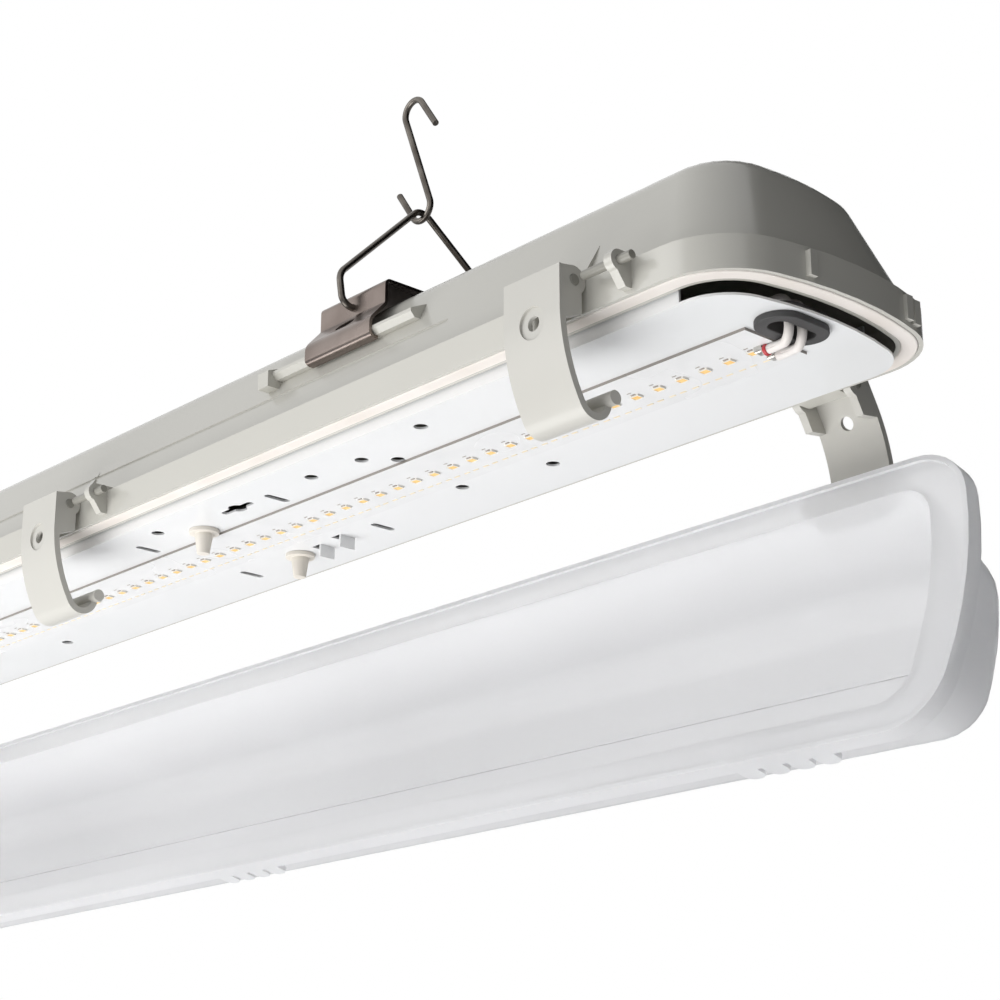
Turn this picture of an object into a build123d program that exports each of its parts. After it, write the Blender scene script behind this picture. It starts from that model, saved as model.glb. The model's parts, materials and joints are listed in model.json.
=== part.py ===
from build123d import *
from math import asin, atan2, cos, degrees, radians, sin, sqrt
import os

# All sizes are in millimetres.
# X runs along the fixture, Y across it and Z up.
# The origin lies on the ceiling plane, midway between the two bracket screw holes.

# Housing: a long shell with rounded ends, open at the bottom
length = 1270.0
width = 105.0
end_radius = 135.0
corner_radius = 27.0
skirt_height = 11.0
body_height = 48.0
body_step = 3.5
body_lean = 16.0
body_round = 10.0
top_corner_radius = 20.0
wall = 2.5
rim_band = 8.5
end_rib_width = 3.0
end_rib_stand = 1.6
end_rib_offsets = (-20.0, 26.0, 31.0)
end_rib_foot = 1.5
groove_height = 24.0
groove_size = 0.8

# Gasket in the rim
gasket_width = 5.5
gasket_depth = 4.0
gasket_proud = 0.4
gasket_clearance = 0.05

# Latches, their pins and the barrels, fins and knuckles on the housing beside them
front_latch_count = 5
front_latch_gap = 73.0
front_pin_height = 9.2
back_latch_count = 3
back_latch_gap = 59.5
back_pin_height = 3.0
pin_stand = 5.0
pin_radius = 1.8
pin_fit = 0.02
pin_clearance = 0.06
pin_overhang = 0.4
barrel_radius = 3.0
barrel_gap = 0.5
fin_thickness = 3.0
fin_offset = 6.5
fin_rise = 27.0
knuckle_offset = 29.5
knuckle_width = 3.2
knuckle_radius = 3.4
knuckle_foot = 1.5
keeper_radius = 1.5
keeper_start = 16.0
keeper_end = 36.5
strap_width = 24.5
strap_thickness = 2.4
strap_out = 5.0
strap_top = 3.8
strap_straight = 9.0
curl_in = 13.0
curl_drop = 26.7
curl_radius = 5.7
curl_turn = 157.4
bead_radius = 2.3
bead_overhang = 3.0
ear_thickness = 3.0
ear_boss = 4.6
ear_nose = 3.0
ear_nose_drop = 10.3
ear_drop = 13.5
recess_radius = 5.3
recess_depth = 0.9
recess_drop = 11.9
latch_hole_radius = 2.45
back_lean = 29.6

# Lens, hung open from the beads of the back latches
lens_open = 75.0
lens_slide = 3.3
lens_inset = 4.7
lens_flange = 2.4
lens_band = 8.7
lens_end_band = 12.7
lens_wall = 2.0
lens_depth = 48.0
lens_lean = 9.4
lens_round = 16.0
lens_foot_corner = 15.0
lens_crown_corner = 19.0
lens_tongue = 1.2
lens_tongue_width = 1.8
lens_lip = 2.0
lens_lip_depth = 5.3
lens_ridge = 0.6
lens_ridge_width = 1.6
tooth_count = 4
tooth_pitch = 10.2
tooth_width = 8.4
tooth_length = 6.0
tooth_round = 3.4
bead_gap = 0.3

# Gear tray
tray_sheet = 0.8
tray_drop = 4.2
tray_inset = 9.3
tray_wall_height = 14.0
tray_wall_gap = 5.0
tray_hole_radius = 2.5
tray_slot_length = 11.0
tray_slot_width = 3.0
keyhole_radius = 3.6
keyhole_slot = 9.0
tab_width = 7.0
tab_length = 5.0
plug_end_gap = 300.0
plug_offset = 23.0
plug_disc = 5.8
plug_disc_height = 1.6
plug_peg = 3.6
plug_peg_tip = 2.4
plug_peg_length = 8.0
plug_shank = 3.0
plug_shank_length = 10.0
plug_clearance = 0.03
post_radius = 5.5
post_hole_depth = 12.0

# Light boards
board_end_gap = 30.0
board_gap = 1.0
board_width = 28.4
board_offset = 2.7
board_thickness = 1.0
led_count = 60
led_first = 9.4
led_last = 6.9
led_offset = 2.4
led_length = 3.5
led_width = 2.8
led_height = 0.7
link_length = 12.0
link_width = 6.0
link_height = 3.0
link_offset = 8.0

# Wiring and electrical parts
grommet_gap = 19.5
grommet_offset = 7.8
grommet_length = 26.0
grommet_width = 16.0
grommet_neck_length = 23.0
grommet_neck_width = 12.0
grommet_hole_length = 18.0
grommet_hole_width = 7.0
grommet_lip = 2.2
grommet_clearance = 0.05
wire_radius = 1.5
wire_bend = 4.0
wire_height = 4.0
wire_spacing = 6.0
wire_shift = 1.5
wire_sag = 10.4
wire_rest = 3.0
joint_gap = 4.2
joint_shift = 7.6
joint_length = 3.0
joint_width = 3.4
joint_height = 2.2
driver_length = 280.0
driver_width = 38.0
driver_height = 25.0
driver_center = -150.0
driver_round = 2.0
driver_foot_length = 14.0
driver_foot_height = 1.5
screw_radius = 1.9
screw_head_radius = 3.8
screw_head_height = 2.4
screw_clearance = 0.05
terminal_length = 40.0
terminal_width = 16.0
terminal_height = 14.0
terminal_gap = 50.0
terminal_hole_radius = 2.0
supply_radius = 1.1
ground_gap = 45.0
ground_offset = 15.0

# Cable gland at the far end
gland_height = 27.0
gland_boss_radius = 13.0
gland_boss_start = 5.0
gland_boss_length = 21.0
gland_thread_radius = 9.9
gland_fit = 0.05
gland_bore = 6.0
gland_hex_radius = 14.0
gland_hex_length = 5.0
gland_neck_length = 9.0
gland_inside = 8.0
locknut_length = 5.0
cap_radius = 13.0
cap_wall = 2.5
cap_gap = 0.2
seal_length = 3.0
seal_bore = 4.5

# Hanging brackets, wire hangers and S-hooks
bracket_end_gap = 191.0
bracket_rise = 5.6
bracket_sheet = 1.2
bracket_width = 36.0
bracket_half = 38.5
bracket_shoulder = 44.0
bracket_bend = 1.8
clip_round = 5.0
clip_rise = 2.6
bracket_hole_radius = 2.75
bracket_slot_length = 9.0
bracket_slot_width = 5.0
rail_length = 77.0
rail_height = 31.0
rail_thickness = 3.0
rail_stand = 4.2
rail_slope = 7.0
stop_length = 6.0
stop_stand = 2.0
rail_fit = 0.05
hook_radius = 1.25
hook_pivot_drop = 5.6
hook_lean = 10.3
hook_clearance = 0.08
hook_leg_gap = 5.0
hook_tail = 2.5
hook_leg = 13.0
hook_rise = 56.0
hook_foot_bend = 4.0
hook_leg_bend = 8.0
hook_apex_bend = 5.0
s_hook_radius = 5.2
s_hook_span = 42.0
s_hook_gap = 0.45
s_hook_lean = 6.5
s_hook_spread = 27.5
s_hook_leg = 15.0

# Derived heights and positions
rim_z = -(body_height + bracket_rise)
half_length = length / 2
half_width = width / 2
tray_top = tray_sheet - tray_drop
pin_out = half_width + pin_stand
front_pitch = (length - 2 * front_latch_gap) / (front_latch_count - 1)
front_stations = [half_length - front_latch_gap - i * front_pitch for i in range(front_latch_count)]
back_pitch = (length - 2 * back_latch_gap) / (back_latch_count - 1)
back_stations = [half_length - back_latch_gap - i * back_pitch for i in range(back_latch_count)]
barrel_half = strap_width / 2 - ear_thickness - barrel_gap
bracket_stations = {"near": half_length - bracket_end_gap, "far": bracket_end_gap - half_length}
plug_stations = [half_length - plug_end_gap, plug_end_gap - half_length]

# The bow of a latch is tangent to its straight part and to its curl.
bow_radius = (curl_in**2 + curl_drop**2 - curl_radius**2) / (2 * (curl_in - curl_radius))
bow_turn = degrees(atan2(curl_drop, bow_radius - curl_in))
curl_center = (strap_out - curl_in, -strap_straight - curl_drop)
curl_end = radians(-bow_turn - curl_turn)
bead_at = (curl_center[0] + curl_radius * cos(curl_end), curl_center[1] + curl_radius * sin(curl_end))
bead_length = strap_width + 2 * bead_overhang

# The bead of a back latch sits behind the lens's flange, inside its lip.
bead_depth = lens_flange + bead_gap + bead_radius
lens_edge = half_width - lens_inset
bead_reach = lens_edge - lens_lip - bead_gap - bead_radius


def outline(inset, corner=None, end_step=0):
    """Edge of the housing's plan, moved in by the inset and at the ends by the step as well."""
    r = corner_radius - inset if corner is None else corner
    big = end_radius - inset
    end_center = half_length - end_radius - end_step
    half = half_width - inset
    yc = half - r
    xc = end_center + sqrt((big - r) ** 2 - yc**2)
    turn = degrees(atan2(yc, xc - end_center))
    with BuildLine() as edge:
        CenterArc((end_center, 0), big, -turn, 2 * turn)
        CenterArc((xc, yc), r, turn, 90 - turn)
        Line((xc, half), (-xc, half))
        CenterArc((-xc, yc), r, 90, 90 - turn)
        CenterArc((-end_center, 0), big, 180 - turn, 2 * turn)
        CenterArc((-xc, -yc), r, 180 + turn, 90 - turn)
        Line((-xc, -half), (xc, -half))
        CenterArc((xc, -yc), r, -90, 90 - turn)
    return edge.line.edges()


def dome(base, foot, foot_inset, foot_corner, crown, crown_inset, crown_corner, crown_round, end_step=0):
    """Leaning solid between two outlines, rounded at its crown."""
    with BuildPart() as form:
        with BuildSketch(base.offset(foot)):
            make_face(outline(foot_inset, foot_corner, end_step))
        with BuildSketch(base.offset(crown)):
            make_face(outline(crown_inset, crown_corner))
        loft(ruled=True)
        crown_face = form.faces().sort_by(Axis(base.origin, base.z_dir))[-1]
        fillet(crown_face.edges(), crown_round)
    return form.part


def level(height):
    """Plane at a height above the rim."""
    return Plane.XY.offset(rim_z + height)


def across(x, side):
    """Plane across the fixture: outward is its X, height above the rim its Y."""
    return Plane(origin=(x, 0, rim_z), x_dir=(0, side, 0), z_dir=(side, 0, 0))


def side_at(height):
    """Half the width of the body at a height above the rim."""
    share = (height - skirt_height) / (body_height - skirt_height)
    return half_width - body_step - body_lean * share


def end_at(y):
    """Distance from the middle to the rim's end at a distance from the centre line."""
    return half_length - end_radius + sqrt(end_radius**2 - y**2)


# Housing
base = Plane.XY.offset(rim_z)
slope_wall = wall * sqrt(1 + (body_lean / (body_height - skirt_height)) ** 2)
inner_foot = body_step + slope_wall
inner_crown = half_width - side_at(body_height - wall) + slope_wall
gland_x = -(half_length - gland_boss_start)
gland_z = rim_z + gland_height
rail_out = side_at(rail_height) + rail_stand
stop_stations = [x - (rail_length + stop_length) / 2 * x / abs(x) for x in bracket_stations.values()]
latch_rows = ((front_stations, front_pin_height, -1), (back_stations, back_pin_height, 1))
with BuildPart() as housing:
    with BuildSketch(level(0)):
        make_face(outline(0))
    extrude(amount=skirt_height)
    outer_crown = body_step + body_lean
    add(dome(base, skirt_height, body_step, None, body_height, outer_crown, top_corner_radius, body_round))
    # hinge barrels behind the latches
    for stations, height, side in latch_rows:
        with BuildSketch(*[across(x, side) for x in stations]):
            with Locations((pin_out, height)):
                Circle(barrel_radius)
            with Locations((half_width + (pin_stand - wall / 3) / 2, height)):
                Rectangle(pin_stand + wall / 3, 2 * barrel_radius)
        extrude(amount=barrel_half, both=True)
    # a fin and a knuckle beside each front latch
    with BuildSketch(*[across(x + fin_offset, -1) for x in front_stations]):
        with BuildLine():
            Polyline(
                (side_at(skirt_height) - wall / 2, skirt_height - wall / 2),
                (half_width - wall / 3, skirt_height - wall / 2),
                (half_width - wall / 3, skirt_height),
                (side_at(fin_rise), fin_rise),
                (side_at(fin_rise) - wall / 2, fin_rise),
                close=True,
            )
        make_face()
    extrude(amount=fin_thickness / 2, both=True)
    with BuildSketch(*[across(x + knuckle_offset, -1) for x in front_stations]):
        with Locations((pin_out, front_pin_height)):
            Circle(knuckle_radius)
        with BuildLine():
            Polyline(
                (half_width - wall / 3, knuckle_foot),
                (half_width + pin_stand / 2, knuckle_foot),
                (pin_out + knuckle_radius, front_pin_height),
                (pin_out, front_pin_height + knuckle_radius),
                (side_at(skirt_height) - wall / 2, front_pin_height + knuckle_radius),
                (side_at(skirt_height) - wall / 2, skirt_height - wall / 2),
                (half_width - wall / 3, skirt_height - wall / 2),
                close=True,
            )
        make_face()
    extrude(amount=knuckle_width / 2, both=True)
    # rails the brackets clip on, each with a stop block at its inner end
    with BuildSketch(*[across(x, side) for x in bracket_stations.values() for side in (-1, 1)]):
        with BuildLine():
            Polyline(
                (side_at(rail_height) - wall / 2, rail_height),
                (rail_out - bracket_bend, rail_height),
                (rail_out, rail_height + bracket_bend),
                (rail_out, rail_height + rail_thickness),
                (side_at(rail_height + rail_slope) - wall / 2, rail_height + rail_slope),
                close=True,
            )
        make_face()
    extrude(amount=rail_length / 2, both=True)
    with BuildSketch(*[across(x, side) for x in stop_stations for side in (-1, 1)]):
        with BuildLine():
            Polyline(
                (side_at(rail_height - rail_thickness) - wall / 2, rail_height - rail_thickness),
                (rail_out + stop_stand, rail_height - rail_thickness),
                (rail_out + stop_stand, rail_height + rail_thickness),
                (side_at(rail_height + rail_slope) - wall / 2, rail_height + rail_slope),
                close=True,
            )
        make_face()
    extrude(amount=stop_length / 2, both=True)
    # small ribs on the end skirts
    with BuildSketch(level(end_rib_foot)):
        for end in (-1, 1):
            for y in end_rib_offsets:
                with Locations((end * (end_at(y) + (end_rib_stand - wall) / 2), end * y)):
                    Rectangle(wall + end_rib_stand, end_rib_width)
    extrude(amount=skirt_height - 2 * end_rib_foot)
    # boss for the cable gland
    with BuildSketch(Plane(origin=(gland_x, 0, gland_z), x_dir=(0, 1, 0), z_dir=(1, 0, 0))):
        Circle(gland_boss_radius)
    extrude(amount=gland_boss_length)
    # cavity
    with BuildSketch(level(0)):
        make_face(outline(rim_band))
    extrude(amount=skirt_height, mode=Mode.SUBTRACT)
    add(
        dome(
            base,
            skirt_height,
            inner_foot,
            None,
            body_height - wall,
            inner_crown,
            top_corner_radius - wall,
            body_round - wall,
        ),
        mode=Mode.SUBTRACT,
    )
    # gland boss inside the cavity, and its bore
    with BuildSketch(Plane(origin=(gland_x, 0, gland_z), x_dir=(0, 1, 0), z_dir=(1, 0, 0))):
        Circle(gland_boss_radius)
    extrude(amount=gland_boss_length)
    with BuildSketch(Plane(origin=(gland_x, 0, gland_z), x_dir=(0, 1, 0), z_dir=(1, 0, 0))):
        Circle(gland_thread_radius + gland_fit)
    extrude(amount=gland_boss_length, mode=Mode.SUBTRACT)
    # posts for the tray plugs
    with BuildSketch(level(tray_top)):
        for x in plug_stations:
            with Locations((x, plug_offset), (x, -plug_offset)):
                Circle(post_radius)
    extrude(amount=body_height - wall / 2 - tray_top)
    with BuildSketch(level(tray_top)):
        for x in plug_stations:
            with Locations((x, plug_offset), (x, -plug_offset)):
                Circle(plug_shank + plug_clearance)
    extrude(amount=post_hole_depth, mode=Mode.SUBTRACT)
    # channel for the gasket
    gasket_inset = (rim_band - gasket_width) / 2
    with BuildSketch(level(0)):
        make_face(outline(gasket_inset))
        make_face(outline(gasket_inset + gasket_width), mode=Mode.SUBTRACT)
    extrude(amount=gasket_depth, mode=Mode.SUBTRACT)
    # pin holes through the barrels and the knuckles
    for stations, height, side in latch_rows:
        with BuildSketch(*[across(x, side) for x in stations]):
            with Locations((pin_out, height)):
                Circle(pin_radius + pin_fit)
        extrude(amount=barrel_half + barrel_gap, both=True, mode=Mode.SUBTRACT)
    with BuildSketch(*[across(x + knuckle_offset, -1) for x in front_stations]):
        with Locations((pin_out, front_pin_height)):
            Circle(keeper_radius + pin_fit)
    extrude(amount=knuckle_width, both=True, mode=Mode.SUBTRACT)
    # fine groove along each side
    with BuildSketch(across(0, -1), across(0, 1)):
        with Locations((side_at(groove_height), groove_height)):
            Circle(groove_size)
    extrude(amount=half_length - end_radius, both=True, mode=Mode.SUBTRACT)
housing.part.label = "housing"
export_step(housing.part, "parts/housing.step")

# Gasket
with BuildPart() as gasket:
    with BuildSketch(level(-gasket_proud)):
        make_face(outline(gasket_inset + gasket_clearance))
        make_face(outline(gasket_inset + gasket_width - gasket_clearance), mode=Mode.SUBTRACT)
    extrude(amount=gasket_proud + gasket_depth)
gasket.part.label = "gasket"
export_step(gasket.part, "parts/gasket.step")

# Gear tray: holes are given from the near end and mirrored in the far half
tray_holes = [
    (224, -30),
    (198, -28),
    (189, -19),
    (159, -34),
    (196, 17),
    (156, 24),
    (315, -34),
    (477, 26),
    (318, 10),
    (351, 11),
]
tray_slots = [(251, -25), (251, 25), (335, -25), (335, 25)]
keyhole_at = (270, -29)
tab_at = [(272, 22), (287, 24)]
grommet_x = half_length - grommet_gap
driver_start = driver_center - driver_length / 2
driver_end = driver_center + driver_length / 2
foot_spots = [driver_start - driver_foot_length / 2, driver_end + driver_foot_length / 2]
ground_at = (driver_start - terminal_gap - terminal_length - ground_gap, ground_offset)
with BuildPart() as gear_tray:
    with BuildSketch(level(-tray_drop)):
        make_face(outline(tray_inset))
        for end in (-1, 1):
            with Locations([(end * (half_length - d), y) for d, y in tray_holes]):
                Circle(tray_hole_radius, mode=Mode.SUBTRACT)
            with Locations([(end * (half_length - d), y) for d, y in tray_slots]):
                SlotOverall(tray_slot_length, tray_slot_width, rotation=90, mode=Mode.SUBTRACT)
            with Locations((end * (half_length - keyhole_at[0]), keyhole_at[1])):
                Circle(keyhole_radius, mode=Mode.SUBTRACT)
                SlotOverall(2 * keyhole_slot, tray_slot_width, mode=Mode.SUBTRACT)
            with Locations([(end * (half_length - d), y) for d, y in tab_at]):
                Rectangle(tab_length, tab_width, mode=Mode.SUBTRACT)
        for x in plug_stations:
            with Locations((x, plug_offset), (x, -plug_offset)):
                Circle(plug_shank + plug_clearance, mode=Mode.SUBTRACT)
        with Locations((grommet_x, -grommet_offset)):
            SlotOverall(grommet_neck_length, grommet_neck_width, rotation=90, mode=Mode.SUBTRACT)
        with Locations([(x, 0) for x in foot_spots] + [ground_at]):
            Circle(screw_radius + screw_clearance, mode=Mode.SUBTRACT)
    extrude(amount=tray_sheet)
    # folded side walls
    tray_half = half_width - tray_inset
    with BuildSketch(level(-tray_drop)):
        for side in (-1, 1):
            with Locations((0, side * (tray_half - tray_sheet / 2))):
                Rectangle(length - 2 * tray_wall_gap - 2 * corner_radius, tray_sheet)
    extrude(amount=tray_wall_height + tray_drop)
    # lanced tabs folded down beside their openings
    with BuildSketch(level(-tray_drop - tab_length)):
        for end in (-1, 1):
            with Locations(
                [(end * (half_length - d + (tab_length + tray_sheet) / 2), y) for d, y in tab_at]
            ):
                Rectangle(tray_sheet, tab_width)
    extrude(amount=tab_length + tray_sheet)
gear_tray.part.label = "gear_tray"
export_step(gear_tray.part, "parts/gear_tray.step")

# Tray plugs
plug_number = 0
for x in plug_stations:
    for side in (-1, 1):
        plug_number += 1
        with BuildPart() as tray_plug:
            disc = Plane(origin=(x, side * plug_offset, rim_z - tray_drop), z_dir=(0, 0, -1))
            with BuildSketch(disc):
                Circle(plug_disc)
            extrude(amount=plug_disc_height)
            with BuildSketch(disc.offset(plug_disc_height)):
                Circle(plug_peg)
            with BuildSketch(disc.offset(plug_disc_height + plug_peg_length)):
                Circle(plug_peg_tip)
            loft()
            with BuildSketch(disc):
                Circle(plug_shank)
            extrude(amount=-plug_shank_length)
        tray_plug.part.label = f"tray_plug_{plug_number}"
        export_step(tray_plug.part, f"parts/tray_plug_{plug_number}.step")

# Light boards and their LEDs
board_end = half_length - board_end_gap
board_length = board_end - board_gap / 2
led_pitch = (board_length - led_first - led_last) / (led_count - 1)
led_middle = (board_end - led_first + board_gap / 2 + led_last) / 2
for end, place in ((1, "near"), (-1, "far")):
    with BuildPart() as led_board:
        with BuildSketch(level(-tray_drop)):
            with Locations((end * (board_end + board_gap / 2) / 2, -board_offset)):
                Rectangle(board_length, board_width)
        extrude(amount=-board_thickness)
    led_board.part.label = f"led_board_{place}"
    export_step(led_board.part, f"parts/led_board_{place}.step")
    with BuildPart() as leds:
        with BuildSketch(level(-tray_drop - board_thickness)):
            with Locations((end * led_middle, -led_offset)):
                with GridLocations(led_pitch, led_pitch, led_count, 1):
                    Rectangle(led_length, led_width)
        extrude(amount=-led_height)
    leds.part.label = f"leds_{place}"
    export_step(leds.part, f"parts/leds_{place}.step")

# Bridge between the two boards
with BuildPart() as board_link:
    with BuildSketch(level(-tray_drop - board_thickness)):
        with Locations((0, -link_offset)):
            Rectangle(link_length, link_width)
    extrude(amount=-link_height)
board_link.part.label = "board_link"
export_step(board_link.part, "parts/board_link.step")

# Solder joints at the near board's end
joint_x = board_end - joint_gap
joint_spots = [joint_shift - grommet_offset + (number - 1.5) * wire_spacing for number in (1, 2)]
with BuildPart() as solder_joints:
    with BuildSketch(level(-tray_drop - board_thickness)):
        with Locations([(joint_x - joint_length / 2, y) for y in joint_spots]):
            Rectangle(joint_length, joint_width)
    extrude(amount=-joint_height)
    fillet(solder_joints.faces().filter_by(Axis.Z).group_by(Axis.Z)[0].edges(), joint_height / 3)
solder_joints.part.label = "solder_joints"
export_step(solder_joints.part, "parts/solder_joints.step")

# Grommet
with BuildPart() as wire_grommet:
    with BuildSketch(level(-tray_drop)):
        with Locations((grommet_x, -grommet_offset)):
            SlotOverall(grommet_length, grommet_width, rotation=90)
    extrude(amount=-grommet_lip)
    with BuildSketch(level(-tray_drop)):
        with Locations((grommet_x, -grommet_offset)):
            SlotOverall(
                grommet_neck_length - 2 * grommet_clearance,
                grommet_neck_width - 2 * grommet_clearance,
                rotation=90,
            )
    extrude(amount=tray_sheet)
    with BuildSketch(level(tray_top)):
        with Locations((grommet_x, -grommet_offset)):
            SlotOverall(grommet_length, grommet_width, rotation=90)
    extrude(amount=grommet_lip)
    with BuildSketch(level(tray_top + grommet_lip)):
        with Locations((grommet_x, -grommet_offset)):
            SlotOverall(grommet_hole_length, grommet_hole_width, rotation=90)
    extrude(amount=-(2 * grommet_lip + tray_sheet), mode=Mode.SUBTRACT)
wire_grommet.part.label = "wire_grommet"
export_step(wire_grommet.part, "parts/wire_grommet.step")

# Lead wires from the driver, down through the grommet and back up to the solder joints
joint_z = rim_z - tray_drop - board_thickness - wire_radius
for number in (1, 2):
    y = -grommet_offset + (number - 1.5) * wire_spacing
    with BuildPart() as lead_wire:
        with BuildLine() as path:
            FilletPolyline(
                (driver_end, y, rim_z + wire_height),
                (grommet_x + wire_shift, y, rim_z + wire_height),
                (grommet_x + wire_shift, y, rim_z - wire_sag),
                (joint_x + wire_rest, joint_spots[number - 1], joint_z),
                (joint_x, joint_spots[number - 1], joint_z),
                radius=(wire_bend, wire_bend, wire_radius),
            )
        with BuildSketch(Plane(origin=path.line @ 0, z_dir=path.line % 0)):
            Circle(wire_radius)
        sweep()
    lead_wire.part.label = f"lead_wire_{number}"
    export_step(lead_wire.part, f"parts/lead_wire_{number}.step")

# Driver on the tray, with a foot at each end
with BuildPart() as driver:
    with BuildSketch(level(tray_top)):
        with Locations((driver_center, 0)):
            Rectangle(driver_length, driver_width)
    extrude(amount=driver_height)
    fillet(driver.faces().sort_by(Axis.Z)[-1].edges(), driver_round)
    with BuildSketch(level(tray_top)):
        with Locations([(x, 0) for x in foot_spots]):
            Rectangle(driver_foot_length, driver_width / 2)
        with Locations([(x, 0) for x in foot_spots]):
            Circle(screw_radius + screw_clearance, mode=Mode.SUBTRACT)
    extrude(amount=driver_foot_height)
driver.part.label = "driver"
export_step(driver.part, "parts/driver.step")

# Driver screws
with BuildPart() as driver_screws:
    with BuildSketch(level(tray_top + driver_foot_height)):
        with Locations([(x, 0) for x in foot_spots]):
            Circle(screw_head_radius)
    extrude(amount=screw_head_height)
    with BuildSketch(level(tray_top + driver_foot_height)):
        with Locations([(x, 0) for x in foot_spots]):
            Circle(screw_radius)
    extrude(amount=-(driver_foot_height + tray_sheet))
driver_screws.part.label = "driver_screws"
export_step(driver_screws.part, "parts/driver_screws.step")

# Terminal block
terminal_end = driver_start - terminal_gap
with BuildPart() as terminal_block:
    with BuildSketch(level(tray_top)):
        with Locations((terminal_end - terminal_length / 2, 0)):
            Rectangle(terminal_length, terminal_width)
    extrude(amount=terminal_height)
    with BuildSketch(level(tray_top + terminal_height)):
        with Locations((terminal_end - terminal_length / 2, 0)):
            with GridLocations(terminal_length / 3, terminal_width / 2, 3, 2):
                Circle(terminal_hole_radius)
    extrude(amount=-terminal_height / 2, mode=Mode.SUBTRACT)
terminal_block.part.label = "terminal_block"
export_step(terminal_block.part, "parts/terminal_block.step")

# Supply wires from the terminal block to the driver
for number in (1, 2):
    y = (number - 1.5) * terminal_width / 2
    with BuildPart() as supply_wire:
        with BuildSketch(Plane(origin=(terminal_end, y, rim_z + wire_height), z_dir=(1, 0, 0))):
            Circle(supply_radius)
        extrude(amount=terminal_gap)
    supply_wire.part.label = f"supply_wire_{number}"
    export_step(supply_wire.part, f"parts/supply_wire_{number}.step")

# Earth screw
with BuildPart() as ground_screw:
    with BuildSketch(level(tray_top)):
        with Locations(ground_at):
            Circle(screw_head_radius)
    extrude(amount=screw_head_height)
    with BuildSketch(level(tray_top)):
        with Locations(ground_at):
            Circle(screw_radius)
    extrude(amount=-tray_sheet)
ground_screw.part.label = "ground_screw"
export_step(ground_screw.part, "parts/ground_screw.step")

# Cable gland, built outward from the boss's outer face
gland = Plane(origin=(gland_x, 0, gland_z), x_dir=(0, 1, 0), z_dir=(-1, 0, 0))
gland_mouth = gland_hex_length + gland_neck_length
with BuildPart() as gland_body:
    with BuildSketch(gland):
        Circle(gland_thread_radius)
    extrude(amount=-(gland_boss_length + gland_inside))
    with BuildSketch(gland):
        RegularPolygon(gland_hex_radius, 6)
    extrude(amount=gland_hex_length)
    with BuildSketch(gland.offset(gland_hex_length)):
        Circle(gland_thread_radius)
    extrude(amount=gland_neck_length)
    with BuildSketch(gland.offset(gland_mouth)):
        Circle(gland_bore)
    extrude(amount=-(gland_mouth + gland_boss_length + gland_inside), mode=Mode.SUBTRACT)
gland_body.part.label = "gland_body"
export_step(gland_body.part, "parts/gland_body.step")

with BuildPart() as gland_locknut:
    with BuildSketch(gland.offset(-gland_boss_length)):
        RegularPolygon(gland_hex_radius, 6)
        Circle(gland_thread_radius + gland_fit, mode=Mode.SUBTRACT)
    extrude(amount=-locknut_length)
gland_locknut.part.label = "gland_locknut"
export_step(gland_locknut.part, "parts/gland_locknut.step")

with BuildPart() as gland_seal:
    with BuildSketch(gland.offset(gland_mouth)):
        Circle(gland_thread_radius)
        Circle(seal_bore, mode=Mode.SUBTRACT)
    extrude(amount=seal_length)
gland_seal.part.label = "gland_seal"
export_step(gland_seal.part, "parts/gland_seal.step")

cap_length = gland_neck_length + seal_length + cap_wall - cap_gap
with BuildPart() as gland_cap:
    with BuildSketch(gland.offset(gland_hex_length + cap_gap)):
        Circle(cap_radius)
    extrude(amount=cap_length)
    fillet(gland_cap.edges().sort_by(Axis.X)[0], cap_wall)
    with BuildSketch(gland.offset(gland_hex_length + cap_gap)):
        Circle(gland_thread_radius + gland_fit)
    extrude(amount=cap_length - cap_wall, mode=Mode.SUBTRACT)
    with BuildSketch(gland.offset(gland_hex_length + cap_gap)):
        Circle(gland_bore)
    extrude(amount=cap_length, mode=Mode.SUBTRACT)
gland_cap.part.label = "gland_cap"
export_step(gland_cap.part, "parts/gland_cap.step")

# Brackets, wire hangers and S-hooks
clip_out = rail_out + rail_fit + bracket_sheet / 2
clip_low = rail_height - rail_fit - bracket_sheet / 2
clip_in = side_at(clip_low) + bracket_sheet
clip_high = rail_height + rail_thickness + clip_rise
plate = body_height + bracket_rise - bracket_sheet / 2
hook_pivot = -hook_pivot_drop
hook_half = bracket_half + hook_leg_gap
leg_slope = atan2(hook_half, hook_rise - hook_leg)
hook_apex = hook_rise - hook_apex_bend * (1 / sin(leg_slope) - 1)
s_hook_low = s_hook_radius - 2 * hook_radius - s_hook_gap
s_hook_high = s_hook_low + s_hook_span
s_hook_tilt = degrees(asin(2 * s_hook_radius / s_hook_span))
s_hook_turn = 180 - s_hook_spread + s_hook_tilt
s_hook_way = radians(90 + s_hook_spread)
s_hook_tip = Vector(s_hook_leg * cos(s_hook_way), s_hook_leg * sin(s_hook_way))
slant = atan2(bracket_shoulder - clip_high, clip_out - bracket_half)
clip_bends = [bracket_bend, clip_round, bracket_bend, bracket_bend]
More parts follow.
